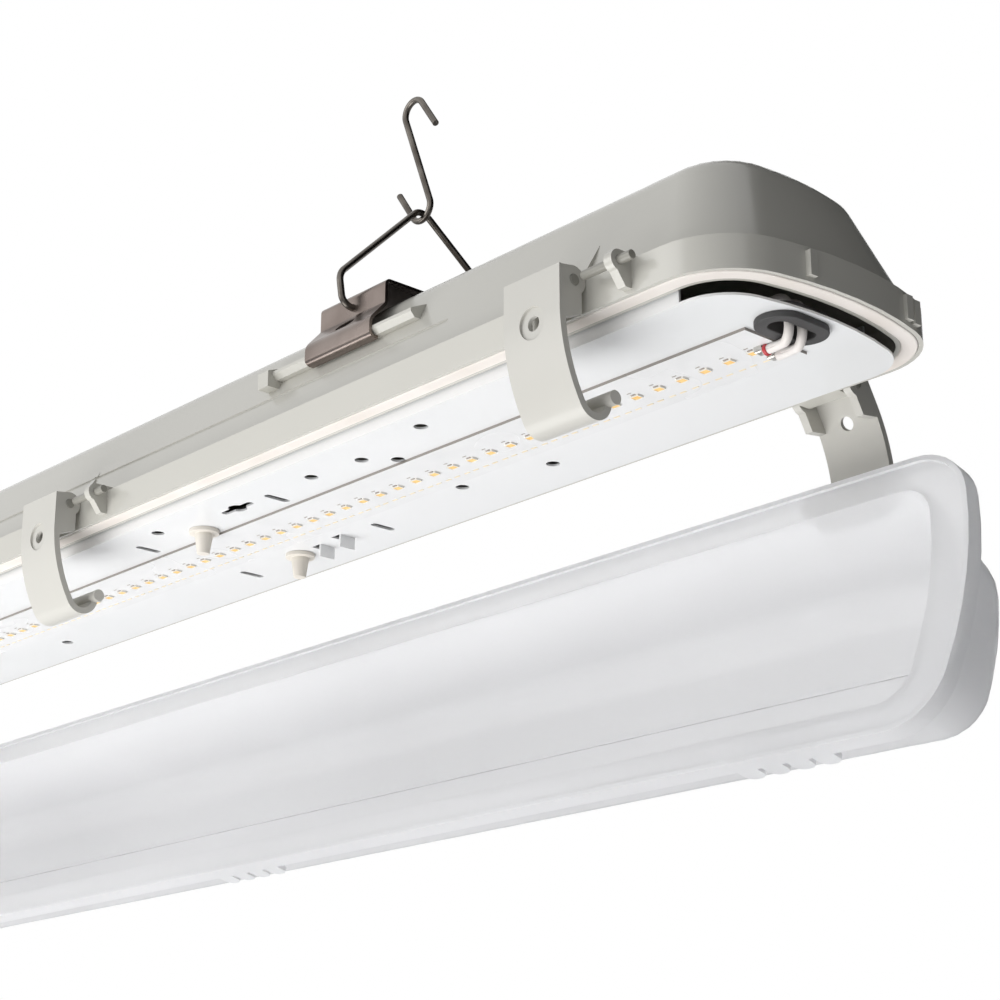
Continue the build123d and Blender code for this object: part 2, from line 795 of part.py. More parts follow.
for place, x in bracket_stations.items():
    inward = -x / abs(x)
    with BuildPart() as bracket:
        with BuildSketch(across(x, 1)):
            with BuildLine():
                FilletPolyline(
                    (clip_in, clip_low),
                    (clip_out, clip_low),
                    (clip_out, clip_high),
                    (bracket_half, bracket_shoulder),
                    (bracket_half, plate),
                    (-bracket_half, plate),
                    (-bracket_half, bracket_shoulder),
                    (-clip_out, clip_high),
                    (-clip_out, clip_low),
                    (-clip_in, clip_low),
                    radius=clip_bends + clip_bends[::-1],
                )
            trace(line_width=bracket_sheet)
        extrude(amount=bracket_width / 2, both=True)
        # ceiling screw hole
        with BuildSketch(level(plate)):
            with Locations((x, 0)):
                Circle(bracket_hole_radius)
        extrude(amount=bracket_sheet, both=True, mode=Mode.SUBTRACT)
        # pivot holes for the wire hanger
        with BuildSketch(Plane(origin=(x, 0, hook_pivot), z_dir=(0, 1, 0))):
            Circle(hook_radius + hook_clearance)
        extrude(amount=bracket_half + bracket_sheet, both=True, mode=Mode.SUBTRACT)
        # slot in each sloping side
        for side in (-1, 1):
            middle = (
                x,
                side * (clip_out + bracket_half) / 2,
                rim_z + (clip_high + bracket_shoulder) / 2,
            )
            slope_out = (0, side * sin(slant), cos(slant))
            with BuildSketch(Plane(origin=middle, x_dir=(1, 0, 0), z_dir=slope_out)):
                SlotOverall(bracket_slot_length, bracket_slot_width)
            extrude(amount=bracket_sheet, both=True, mode=Mode.SUBTRACT)
    bracket.part.label = f"bracket_{place}"
    export_step(bracket.part, f"parts/bracket_{place}.step")

    # the hanger leans towards the middle, and the S-hook on it a little less
    lean = radians(hook_lean) * inward
    hanger = Plane(origin=(x, 0, hook_pivot), x_dir=(0, 1, 0), z_dir=(cos(lean), 0, -sin(lean)))
    with BuildPart() as v_hook:
        with BuildLine(hanger) as path:
            FilletPolyline(
                (-bracket_half + hook_tail, 0),
                (-hook_half, 0),
                (-hook_half, hook_leg),
                (0, hook_rise),
                (hook_half, hook_leg),
                (hook_half, 0),
                (bracket_half - hook_tail, 0),
                radius=(hook_foot_bend, hook_leg_bend, hook_apex_bend, hook_leg_bend, hook_foot_bend),
            )
        with BuildSketch(Plane(origin=path.line @ 0, z_dir=path.line % 0)):
            Circle(hook_radius)
        sweep()
    v_hook.part.label = f"v_hook_{place}"
    export_step(v_hook.part, f"parts/v_hook_{place}.step")

    swing = radians(s_hook_lean) * inward
    apex = hanger.from_local_coords((0, hook_apex, 0))
    with BuildPart() as s_hook:
        upright = Plane(origin=apex, x_dir=(cos(swing), 0, -sin(swing)), z_dir=(0, -1, 0))
        tip = upright.from_local_coords(s_hook_tip) - apex
        with BuildLine(upright) as path:
            lower = CenterArc((0, s_hook_low), s_hook_radius, 180 + s_hook_spread, s_hook_turn)
            upper = CenterArc((0, s_hook_high), s_hook_radius, 180 + s_hook_tilt, -s_hook_turn)
            Line(lower @ 1, upper @ 0)
            Line(lower @ 0 + tip, lower @ 0)
            Line(upper @ 1, upper @ 1 - tip)
        with BuildSketch(Plane(origin=path.line @ 0, z_dir=path.line % 0)):
            Circle(hook_radius)
        sweep()
    s_hook.part.label = f"s_hook_{place}"
    export_step(s_hook.part, f"parts/s_hook_{place}.step")


def latch_plane(x, side, height, lean):
    """Plane across a latch at its pin: outward is its X and the strap hangs down its Y."""
    turn = radians(lean)
    return Plane(
        origin=(x, side * pin_out, rim_z + height),
        x_dir=(0, side * cos(turn), sin(turn)),
        z_dir=(side, 0, 0),
    )


# Latches and hinge pins
for (stations, height, side), lean, row in zip(latch_rows, (0, back_lean), ("front", "back")):
    for number, x in enumerate(stations, 1):
        frame = latch_plane(x, side, height, lean)
        with BuildPart() as latch:
            with BuildSketch(frame):
                with BuildLine():
                    Line((strap_out, strap_top), (strap_out, -strap_straight))
                    CenterArc((strap_out - bow_radius, -strap_straight), bow_radius, 0, -bow_turn)
                    CenterArc(curl_center, curl_radius, -bow_turn, -curl_turn)
                trace(line_width=strap_thickness)
            extrude(amount=strap_width / 2, both=True)
            with BuildSketch(frame):
                with Locations(bead_at):
                    Circle(bead_radius)
            extrude(amount=bead_length / 2, both=True)
            for end in (-1, 1):
                with BuildSketch(frame.offset(end * (strap_width - ear_thickness) / 2)):
                    Circle(ear_boss)
                    with BuildLine():
                        Polyline(
                            (0, ear_boss),
                            (strap_out, strap_top),
                            (strap_out, -ear_drop),
                            (-ear_nose, -ear_nose_drop),
                            (-ear_nose, 0),
                            close=True,
                        )
                    make_face()
                extrude(amount=ear_thickness / 2, both=True)
            with BuildSketch(frame):
                Circle(pin_radius + pin_clearance)
            extrude(amount=strap_width, both=True, mode=Mode.SUBTRACT)
            recess_floor = strap_out + strap_thickness / 2 - recess_depth
            recess = Plane(
                origin=frame.from_local_coords((recess_floor, -recess_drop, 0)),
                x_dir=(1, 0, 0),
                z_dir=frame.x_dir,
            )
            with BuildSketch(recess):
                Circle(recess_radius)
            extrude(amount=strap_thickness, mode=Mode.SUBTRACT)
            with BuildSketch(recess):
                Circle(latch_hole_radius)
            extrude(amount=-strap_thickness, mode=Mode.SUBTRACT)
        latch.part.label = f"latch_{row}_{number}"
        export_step(latch.part, f"parts/latch_{row}_{number}.step")
    with BuildPart() as hinge_pins:
        with BuildSketch(*[across(x, side) for x in stations]):
            with Locations((pin_out, height)):
                Circle(pin_radius)
        extrude(amount=strap_width / 2 + pin_overhang, both=True)
    hinge_pins.part.label = f"{row}_hinge_pins"
    export_step(hinge_pins.part, f"parts/{row}_hinge_pins.step")

# Keeper pins in the knuckles beside the front latches
keeper_middle = (keeper_start + keeper_end) / 2
with BuildPart() as keeper_pins:
    with BuildSketch(*[across(x + keeper_middle, -1) for x in front_stations]):
        with Locations((pin_out, front_pin_height)):
            Circle(keeper_radius)
    extrude(amount=(keeper_end - keeper_start) / 2, both=True)
keeper_pins.part.label = "keeper_pins"
export_step(keeper_pins.part, "parts/keeper_pins.step")

# Lens: its plane's Z points down into the lens, and its lip hangs on the back latches' beads
turn = radians(lens_open)
bead = latch_plane(lens_slide, 1, back_pin_height, back_lean).from_local_coords((*bead_at, 0))
reach = Vector(0, cos(turn), sin(turn))
depth = Vector(0, sin(turn), -cos(turn))
lens_plane = Plane(origin=bead - reach * bead_reach - depth * bead_depth, x_dir=(1, 0, 0), z_dir=depth)
lens_mouth = lens_inset + lens_band
lens_crown = lens_mouth + lens_lean
lens_slope_wall = lens_wall * sqrt(1 + (lens_lean / lens_depth) ** 2)
lens_end_step = lens_end_band - lens_band
with BuildPart() as lens:
    with BuildSketch(lens_plane):
        make_face(outline(lens_inset))
    extrude(amount=lens_flange)
    # sealing tongue that meets the gasket
    with BuildSketch(lens_plane):
        make_face(outline(lens_inset))
        make_face(outline(lens_inset + lens_tongue_width), mode=Mode.SUBTRACT)
    extrude(amount=-lens_tongue)
    add(
        dome(
            lens_plane,
            0,
            lens_mouth,
            lens_foot_corner,
            lens_depth,
            lens_crown,
            lens_crown_corner,
            lens_round,
            lens_end_step,
        )
    )
    add(
        dome(
            lens_plane,
            0,
            lens_mouth + lens_slope_wall,
            lens_foot_corner - lens_wall,
            lens_depth - lens_wall,
            lens_crown + lens_slope_wall,
            lens_crown_corner - lens_wall,
            lens_round - lens_wall,
            lens_end_step,
        ),
        mode=Mode.SUBTRACT,
    )
    # fine ridge along the middle of the lens's floor
    with BuildSketch(lens_plane.offset(lens_depth - lens_wall - lens_ridge)):
        Rectangle(length - 2 * (lens_crown + lens_round + lens_end_band), lens_ridge_width)
    extrude(amount=lens_ridge + lens_wall / 2)
    # lip around the edge, with hook teeth at the latches
    with BuildSketch(lens_plane):
        make_face(outline(lens_inset))
        make_face(outline(lens_inset + lens_lip), mode=Mode.SUBTRACT)
    extrude(amount=lens_lip_depth)
    shifts = [(i - (tooth_count - 1) / 2) * tooth_pitch for i in range(tooth_count)]
    tooth_middle = (lens_lip_depth - lens_flange + tooth_length) / 2 + lens_flange
    for stations, height, side in latch_rows:
        edge_plane = Plane(
            origin=lens_plane.origin + reach * side * lens_edge,
            x_dir=(1, 0, 0),
            z_dir=reach * -side,
        )
        down = edge_plane.to_local_coords(lens_plane.origin + depth).Y
        with BuildSketch(edge_plane):
            with Locations([(x + shift, down * tooth_middle) for x in stations for shift in shifts]):
                RectangleRounded(tooth_width, lens_lip_depth - lens_flange + tooth_length, tooth_round)
        extrude(amount=lens_lip)
lens.part.label = "lens"
export_step(lens.part, "parts/lens.step")
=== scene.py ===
# %% [markdown]
# # A sealed light fixture, hung open for service
# A long grey shell hangs from two wire hangers. Its white gear tray carries a row of LEDs,
# and its frosted lens hangs open from the hook latches on the far side.
# The solids come from the CAD model. This lesson gives them soft edges and real finishes,
# makes the LED packages, and sets up the studio.

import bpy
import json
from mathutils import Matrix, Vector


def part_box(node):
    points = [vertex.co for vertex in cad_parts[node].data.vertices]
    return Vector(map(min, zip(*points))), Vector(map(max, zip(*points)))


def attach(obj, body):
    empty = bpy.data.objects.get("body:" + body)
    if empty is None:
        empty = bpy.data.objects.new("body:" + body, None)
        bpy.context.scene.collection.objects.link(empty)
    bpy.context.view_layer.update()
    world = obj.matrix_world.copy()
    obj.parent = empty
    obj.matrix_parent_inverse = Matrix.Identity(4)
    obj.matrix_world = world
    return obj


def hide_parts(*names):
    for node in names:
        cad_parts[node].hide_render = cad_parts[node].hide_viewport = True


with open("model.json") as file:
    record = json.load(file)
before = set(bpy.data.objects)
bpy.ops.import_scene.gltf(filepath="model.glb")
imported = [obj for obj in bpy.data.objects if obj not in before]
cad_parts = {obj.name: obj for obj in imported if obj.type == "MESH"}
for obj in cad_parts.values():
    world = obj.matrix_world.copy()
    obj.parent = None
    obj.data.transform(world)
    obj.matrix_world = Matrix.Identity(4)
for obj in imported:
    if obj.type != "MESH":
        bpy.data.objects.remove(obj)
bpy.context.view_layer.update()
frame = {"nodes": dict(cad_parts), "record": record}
nodes = frame["nodes"]

import json
from math import cos, radians, sin

import bmesh
import bpy
from mathutils import Vector

MM = 0.001
scene = bpy.context.scene
scene.view_settings.view_transform = "Standard"

# %% [markdown]
# ## The camera
# The photographer stood below one end of the fixture and looked up along it.
# A long lens from close by keeps the near end large while the far end runs out of the frame.

# %% Camera
CAMERA_PLACE = Vector((1.005, -0.478, -0.3186))
CAMERA_AZIMUTH = radians(47.8)
CAMERA_RISE = radians(18.8)
FOCAL_LENGTH = 79.45
SENSOR_WIDTH = 36.0
CLIP_RANGE = (0.01, 50.0)

camera_data = bpy.data.cameras.new("photo_camera")
camera_data.lens = FOCAL_LENGTH
camera_data.sensor_width = SENSOR_WIDTH
camera_data.clip_start, camera_data.clip_end = CLIP_RANGE
camera = bpy.data.objects.new("photo_camera", camera_data)
camera.location = CAMERA_PLACE
looking = Vector(
    (
        -sin(CAMERA_AZIMUTH) * cos(CAMERA_RISE),
        cos(CAMERA_AZIMUTH) * cos(CAMERA_RISE),
        sin(CAMERA_RISE),
    )
)
camera.rotation_euler = looking.to_track_quat("-Z", "Y").to_euler()
scene.collection.objects.link(camera)
scene.camera = camera
print("camera looks along", tuple(round(v, 3) for v in looking))

# %% [markdown]
# ## Shared surface effects
# Real mouldings are never one flat colour. Three small shader groups are built once and shared:
# one lets the colour and gloss drift a little over the surface, one gives a fine grain for the bump,
# and one marks the cut edges of a flat board.


# %% Shader groups
PATCH_DETAIL = 2.0
PATCH_SPREAD = (0.35, 0.65)
SMEAR_SCALE = 30.0
SMEAR_DETAIL = 1.0
SMEAR_SPREAD = (0.3, 0.7)
GRAIN_DETAIL = 4.0
EDGE_STEEPNESS = 0.5


def add_socket(group, name, kind, direction, value=None):
    """Named input or output of a node group, with its default if one is given."""
    socket = group.interface.new_socket(name=name, in_out=direction, socket_type=kind)
    if value is not None:
        socket.default_value = value


def make_drift_group():
    """Colour and gloss that change slowly over a surface."""
    group = bpy.data.node_groups.new("surface_drift", "ShaderNodeTree")
    add_socket(group, "Colour", "NodeSocketColor", "INPUT")
    add_socket(group, "Deep colour", "NodeSocketColor", "INPUT")
    for name in ("Patch scale", "Gloss low", "Gloss high"):
        add_socket(group, name, "NodeSocketFloat", "INPUT")
    add_socket(group, "Colour", "NodeSocketColor", "OUTPUT")
    add_socket(group, "Roughness", "NodeSocketFloat", "OUTPUT")
    tree = group.nodes
    start = tree.new("NodeGroupInput")
    end = tree.new("NodeGroupOutput")
    place = tree.new("ShaderNodeTexCoord")
    patches = tree.new("ShaderNodeTexNoise")
    patches.inputs["Detail"].default_value = PATCH_DETAIL
    smears = tree.new("ShaderNodeTexNoise")
    smears.inputs["Scale"].default_value = SMEAR_SCALE
    smears.inputs["Detail"].default_value = SMEAR_DETAIL
    shade = tree.new("ShaderNodeMix")
    shade.data_type = "RGBA"
    spread = tree.new("ShaderNodeMapRange")
    spread.inputs["From Min"].default_value = PATCH_SPREAD[0]
    spread.inputs["From Max"].default_value = PATCH_SPREAD[1]
    gloss = tree.new("ShaderNodeMapRange")
    gloss.inputs["From Min"].default_value = SMEAR_SPREAD[0]
    gloss.inputs["From Max"].default_value = SMEAR_SPREAD[1]
    links = group.links
    links.new(place.outputs["Object"], patches.inputs["Vector"])
    links.new(place.outputs["Object"], smears.inputs["Vector"])
    links.new(start.outputs["Patch scale"], patches.inputs["Scale"])
    links.new(patches.outputs["Fac"], spread.inputs["Value"])
    links.new(spread.outputs["Result"], shade.inputs["Factor"])
    links.new(start.outputs["Colour"], shade.inputs["A"])
    links.new(start.outputs["Deep colour"], shade.inputs["B"])
    links.new(smears.outputs["Fac"], gloss.inputs["Value"])
    links.new(start.outputs["Gloss low"], gloss.inputs["To Min"])
    links.new(start.outputs["Gloss high"], gloss.inputs["To Max"])
    links.new(shade.outputs["Result"], end.inputs["Colour"])
    links.new(gloss.outputs["Result"], end.inputs["Roughness"])
    return group


def make_grain_group():
    """Fine height of a moulded, painted or drawn surface, stretched along one axis if asked."""
    group = bpy.data.node_groups.new("fine_grain", "ShaderNodeTree")
    add_socket(group, "Scale", "NodeSocketFloat", "INPUT")
    add_socket(group, "Stretch", "NodeSocketVector", "INPUT")
    add_socket(group, "Height", "NodeSocketFloat", "OUTPUT")
    tree = group.nodes
    start = tree.new("NodeGroupInput")
    end = tree.new("NodeGroupOutput")
    place = tree.new("ShaderNodeTexCoord")
    stretch = tree.new("ShaderNodeMapping")
    grain = tree.new("ShaderNodeTexNoise")
    grain.inputs["Detail"].default_value = GRAIN_DETAIL
    links = group.links
    links.new(place.outputs["Object"], stretch.inputs["Vector"])
    links.new(start.outputs["Stretch"], stretch.inputs["Scale"])
    links.new(stretch.outputs["Vector"], grain.inputs["Vector"])
    links.new(start.outputs["Scale"], grain.inputs["Scale"])
    links.new(grain.outputs["Fac"], end.inputs["Height"])
    return group


def make_edge_group():
    """Mask of the upright cut edges of a flat board or sheet."""
    group = bpy.data.node_groups.new("cut_edge", "ShaderNodeTree")
    add_socket(group, "Steepness", "NodeSocketFloat", "INPUT", EDGE_STEEPNESS)
    add_socket(group, "Edge", "NodeSocketFloat", "OUTPUT")
    tree = group.nodes
    start = tree.new("NodeGroupInput")
    end = tree.new("NodeGroupOutput")
    surface = tree.new("ShaderNodeNewGeometry")
    split = tree.new("ShaderNodeSeparateXYZ")
    size = tree.new("ShaderNodeMath")
    size.operation = "ABSOLUTE"
    steep = tree.new("ShaderNodeMath")
    steep.operation = "LESS_THAN"
    links = group.links
    links.new(surface.outputs["Normal"], split.inputs["Vector"])
    links.new(split.outputs["Z"], size.inputs[0])
    links.new(size.outputs["Value"], steep.inputs[0])
    links.new(start.outputs["Steepness"], steep.inputs[1])
    links.new(steep.outputs["Value"], end.inputs["Edge"])
    return group


drift_group = make_drift_group()
grain_group = make_grain_group()
edge_group = make_edge_group()
print("shader groups:", drift_group.name, grain_group.name, edge_group.name)

# %% [markdown]
# ## The finishes
# Each finish is one Principled shader. The drift group feeds its colour and gloss and the grain
# group feeds a Bump node. Only the numbers differ from one moulding, paint or steel to the next.


# %% Finish maker
BUMP_DEPTH = 0.2 * MM


def srgb(red, green, blue):
    """Linear colour from the 0 to 255 values of a screen colour."""
    steps = [value / 255 for value in (red, green, blue)]
    return tuple(v / 12.92 if v <= 0.04045 else ((v + 0.055) / 1.055) ** 2.4 for v in steps) + (1.0,)


def make_finish(
    name, colour, deep, gloss, patch=12.0, grain=900.0, stretch=(1, 1, 1), bump=0.05, **sockets
):
    """Material with drifting colour and gloss and a fine grain; sockets are set on the shader."""
    material = bpy.data.materials.new(name)
    material.use_nodes = True
    tree = material.node_tree
    shader = tree.nodes["Principled BSDF"]
    drift = tree.nodes.new("ShaderNodeGroup")
    drift.node_tree = drift_group
    drift.inputs["Colour"].default_value = colour
    drift.inputs["Deep colour"].default_value = deep
    drift.inputs["Patch scale"].default_value = patch
    drift.inputs["Gloss low"].default_value = gloss[0]
    drift.inputs["Gloss high"].default_value = gloss[1]
    grains = tree.nodes.new("ShaderNodeGroup")
    grains.node_tree = grain_group
    grains.inputs["Scale"].default_value = grain
    grains.inputs["Stretch"].default_value = stretch
    relief = tree.nodes.new("ShaderNodeBump")
    relief.inputs["Strength"].default_value = bump
    relief.inputs["Distance"].default_value = BUMP_DEPTH
    tree.links.new(drift.outputs["Colour"], shader.inputs["Base Color"])
    tree.links.new(drift.outputs["Roughness"], shader.inputs["Roughness"])
    tree.links.new(grains.outputs["Height"], relief.inputs["Height"])
    tree.links.new(relief.outputs["Normal"], shader.inputs["Normal"])
    for socket, value in sockets.items():
        shader.inputs[socket.replace("_", " ")].default_value = value
    return material


# %% The finishes of this fixture
finishes = {
    "housing_grey": make_finish(
        "housing_grey",
        srgb(203, 201, 193),
        srgb(198, 196, 188),
        (0.17, 0.22),
        patch=5.0,
        grain=1400.0,
        bump=0.02,
    ),
    "latch_grey": make_finish(
        "latch_grey", srgb(201, 199, 192), srgb(196, 194, 187), (0.34, 0.42), grain=1400.0, bump=0.04
    ),
    "pin_grey": make_finish("pin_grey", srgb(150, 148, 140), srgb(142, 140, 132), (0.3, 0.4)),
    "gasket_cream": make_finish(
        "gasket_cream",
        srgb(236, 230, 224),
        srgb(229, 221, 213),
        (0.55, 0.7),
        patch=40.0,
        grain=1800.0,
        bump=0.25,
    ),
    "tray_white": make_finish(
        "tray_white",
        srgb(236, 236, 236),
        srgb(231, 232, 232),
        (0.12, 0.2),
        patch=8.0,
        grain=350.0,
        bump=0.02,
    ),
    "plug_white": make_finish("plug_white", srgb(226, 220, 210), srgb(218, 211, 200), (0.35, 0.45)),
    "board_white": make_finish(
        "board_white", srgb(232, 232, 232), srgb(227, 227, 227), (0.2, 0.3), patch=60.0, grain=1200.0
    ),
    "led_yellow": make_finish(
        "led_yellow", srgb(255, 214, 138), srgb(254, 200, 116), (0.3, 0.4), patch=400.0
    ),
    "connector_white": make_finish(
        "connector_white", srgb(228, 226, 220), srgb(222, 219, 212), (0.4, 0.5)
    ),
    "wire_white": make_finish(
        "wire_white", srgb(235, 230, 226), srgb(226, 220, 215), (0.4, 0.5), patch=80.0
    ),
    "grommet_black": make_finish(
        "grommet_black",
        srgb(74, 73, 73),
        srgb(62, 61, 61),
        (0.55, 0.7),
        patch=80.0,
        grain=2200.0,
        bump=0.2,
    ),
    "driver_white": make_finish("driver_white", srgb(222, 222, 220), srgb(214, 214, 212), (0.4, 0.5)),
    "screw_steel": make_finish(
        "screw_steel", srgb(190, 190, 190), srgb(178, 178, 178), (0.25, 0.4), patch=300.0, Metallic=1.0
    ),
    "solder_steel": make_finish(
        "solder_steel",
        srgb(214, 212, 208),
        srgb(186, 182, 176),
        (0.12, 0.3),
        patch=700.0,
        grain=1600.0,
        Metallic=1.0,
    ),
    "gland_grey": make_finish("gland_grey", srgb(176, 176, 172), srgb(168, 168, 164), (0.35, 0.45)),
    "bracket_steel": make_finish(
        "bracket_steel",
        srgb(142, 131, 125),
        srgb(124, 113, 107),
        (0.2, 0.32),
        patch=60.0,
        grain=260.0,
        stretch=(0.05, 1, 1),
        bump=0.12,
        Metallic=1.0,
    ),
    "hook_steel": make_finish(
        "hook_steel",
        srgb(118, 113, 107),
        srgb(92, 87, 82),
        (0.26, 0.4),
        patch=120.0,
        grain=600.0,
        Metallic=1.0,
    ),
    "lens_frosted": make_finish(
        "lens_frosted",
        srgb(250, 250, 251),
        srgb(247, 247, 248),
        (0.45, 0.55),
        patch=6.0,
        grain=1600.0,
        bump=0.04,
        Transmission_Weight=0.6,
    ),
}


def paint_edge_tone_and_shade(material, colour):
    """Another colour on the cut edges of a board's finish: the board's own darker edge tone, made
    darker still as painted shade for the shadow line under the edge.
    """
    tree = material.node_tree
    shader = tree.nodes["Principled BSDF"]
    face = shader.inputs["Base Color"].links[0].from_socket
    edge = tree.nodes.new("ShaderNodeGroup")
    edge.node_tree = edge_group
    blend = tree.nodes.new("ShaderNodeMix")
    blend.data_type = "RGBA"
    blend.inputs["B"].default_value = colour
    tree.links.new(edge.outputs["Edge"], blend.inputs["Factor"])
    tree.links.new(face, blend.inputs["A"])
    tree.links.new(blend.outputs["Result"], shader.inputs["Base Color"])


# Colour of the board's cut edges: partly the board's own darker edge tone, partly painted shade for the
# shadow line under the board's edge.
BOARD_EDGE_TONE_AND_SHADE = srgb(150, 144, 138)
paint_edge_tone_and_shade(finishes["board_white"], BOARD_EDGE_TONE_AND_SHADE)
for sub in frame["record"]["subparts"]:
    node = nodes[sub["node"]]
    node.data.materials.clear()
    node.data.materials.append(finishes[sub["material_slot"]])
print("finishes:", sorted(finishes))

# %% [markdown]
# ## Soft edges
# Moulded and pressed edges are never knife sharp. The CAD triangles are welded and their flat faces
# joined, and then a Bevel modifier rounds every edge that turns by more than thirty degrees.
# The meshes themselves stay as they are: these are live modifiers on the CAD objects.


# %% Edge softener
WELD_REACH = 0.002 * MM
FLAT_ANGLE = radians(1.0)
EDGE_ANGLE = radians(30)
EDGE_SEGMENTS = 2


def soften(node, width):
    """Smooth shading and rounded edges of a given width on a CAD node."""
    obj = nodes[node]
    mesh = obj.data
    if "custom_normal" in mesh.attributes:
        mesh.attributes.remove(mesh.attributes["custom_normal"])
    mesh.polygons.foreach_set("use_smooth", [True] * len(mesh.polygons))
    weld = obj.modifiers.new("weld", "WELD")
    weld.merge_threshold = WELD_REACH
    joined = obj.modifiers.new("flat_faces", "DECIMATE")
    joined.decimate_type = "DISSOLVE"
    joined.angle_limit = FLAT_ANGLE
    bevel = obj.modifiers.new("soft_edges", "BEVEL")
    bevel.width = width
    bevel.segments = EDGE_SEGMENTS
    bevel.limit_method = "ANGLE"
    bevel.angle_limit = EDGE_ANGLE
    bevel.harden_normals = True


soft_edges = {
    "housing": 0.5 * MM,
    "gasket": 0.6 * MM,
    "gear_tray": 0.15 * MM,
    "lens": 0.4 * MM,
    "driver": 0.4 * MM,
    "terminal_block": 0.4 * MM,
    "wire_grommet": 0.7 * MM,
    "front_hinge_pins": 0.3 * MM,
    "back_hinge_pins": 0.3 * MM,
    "keeper_pins": 0.3 * MM,
    "bracket_near": 0.15 * MM,
    "bracket_far": 0.15 * MM,
}
# kinds of node by the start of their names
SOFT_KINDS = {
    "latch_": 0.4 * MM,
    "tray_plug": 0.3 * MM,
    "gland_": 0.3 * MM,
    "v_hook": 0.2 * MM,
    "s_hook": 0.2 * MM,
    "lead_wire": 0.2 * MM,
    "supply_wire": 0.2 * MM,
    "driver_screws": 0.2 * MM,
    "ground_screw": 0.2 * MM,
}
for name in nodes:
    for kind, width in SOFT_KINDS.items():
        if name.startswith(kind):
            soft_edges[name] = width
for name, width in soft_edges.items():
    soften(name, width)
print("softened nodes:", len(soft_edges))

# %% [markdown]
# ## The LED packages
# Each LED is a white case with a sunken yellow window, soldered to the board at both long sides.
# One package is a cube whose lower face is inset and pushed in, and Geometry Nodes repeat it along a
# line of points. Sixty hand-placed cubes would look the same, but the line keeps the pitch exact.
# The places and sizes are read from the CAD solids that this row stands for.

# %% LED finishes
led_case = make_finish(
    "led_case", srgb(246, 243, 236), srgb(240, 236, 228), (0.35, 0.45), patch=300.0
)
led_contact = make_finish(
    "led_contact", srgb(172, 163, 155), srgb(140, 131, 124), (0.35, 0.5), patch=600.0
)
bare_pad = make_finish(
    "bare_pad", srgb(243, 229, 200), srgb(236, 218, 184), (0.3, 0.4), patch=300.0
)


# %% Geometry Nodes helpers
def node_at(group, kind, **settings):
    """New node with its plain settings made."""
    node = group.nodes.new(kind)
    for name, value in settings.items():
        setattr(node, name, value)
    return node


def repeat_block(group, points, size, place, material):
    """Small block repeated at every point: cube, shift, instances, realised and given its finish."""
    links = group.links
    block = node_at(group, "GeometryNodeMeshCube")
    shift = node_at(group, "GeometryNodeTransform")
    spread = node_at(group, "GeometryNodeInstanceOnPoints")
    real = node_at(group, "GeometryNodeRealizeInstances")
    paint = node_at(group, "GeometryNodeSetMaterial")
    paint.inputs["Material"].default_value = material
    links.new(size, block.inputs["Size"])
    links.new(block.outputs["Mesh"], shift.inputs["Geometry"])
    links.new(place, shift.inputs["Translation"])
    links.new(points, spread.inputs["Points"])
    links.new(shift.outputs["Geometry"], spread.inputs["Instance"])
    links.new(spread.outputs["Instances"], real.inputs["Geometry"])
    links.new(real.outputs["Geometry"], paint.inputs["Geometry"])
    return paint.outputs["Geometry"]


# %% The tree of one LED row
FACING_DOWN = -0.5


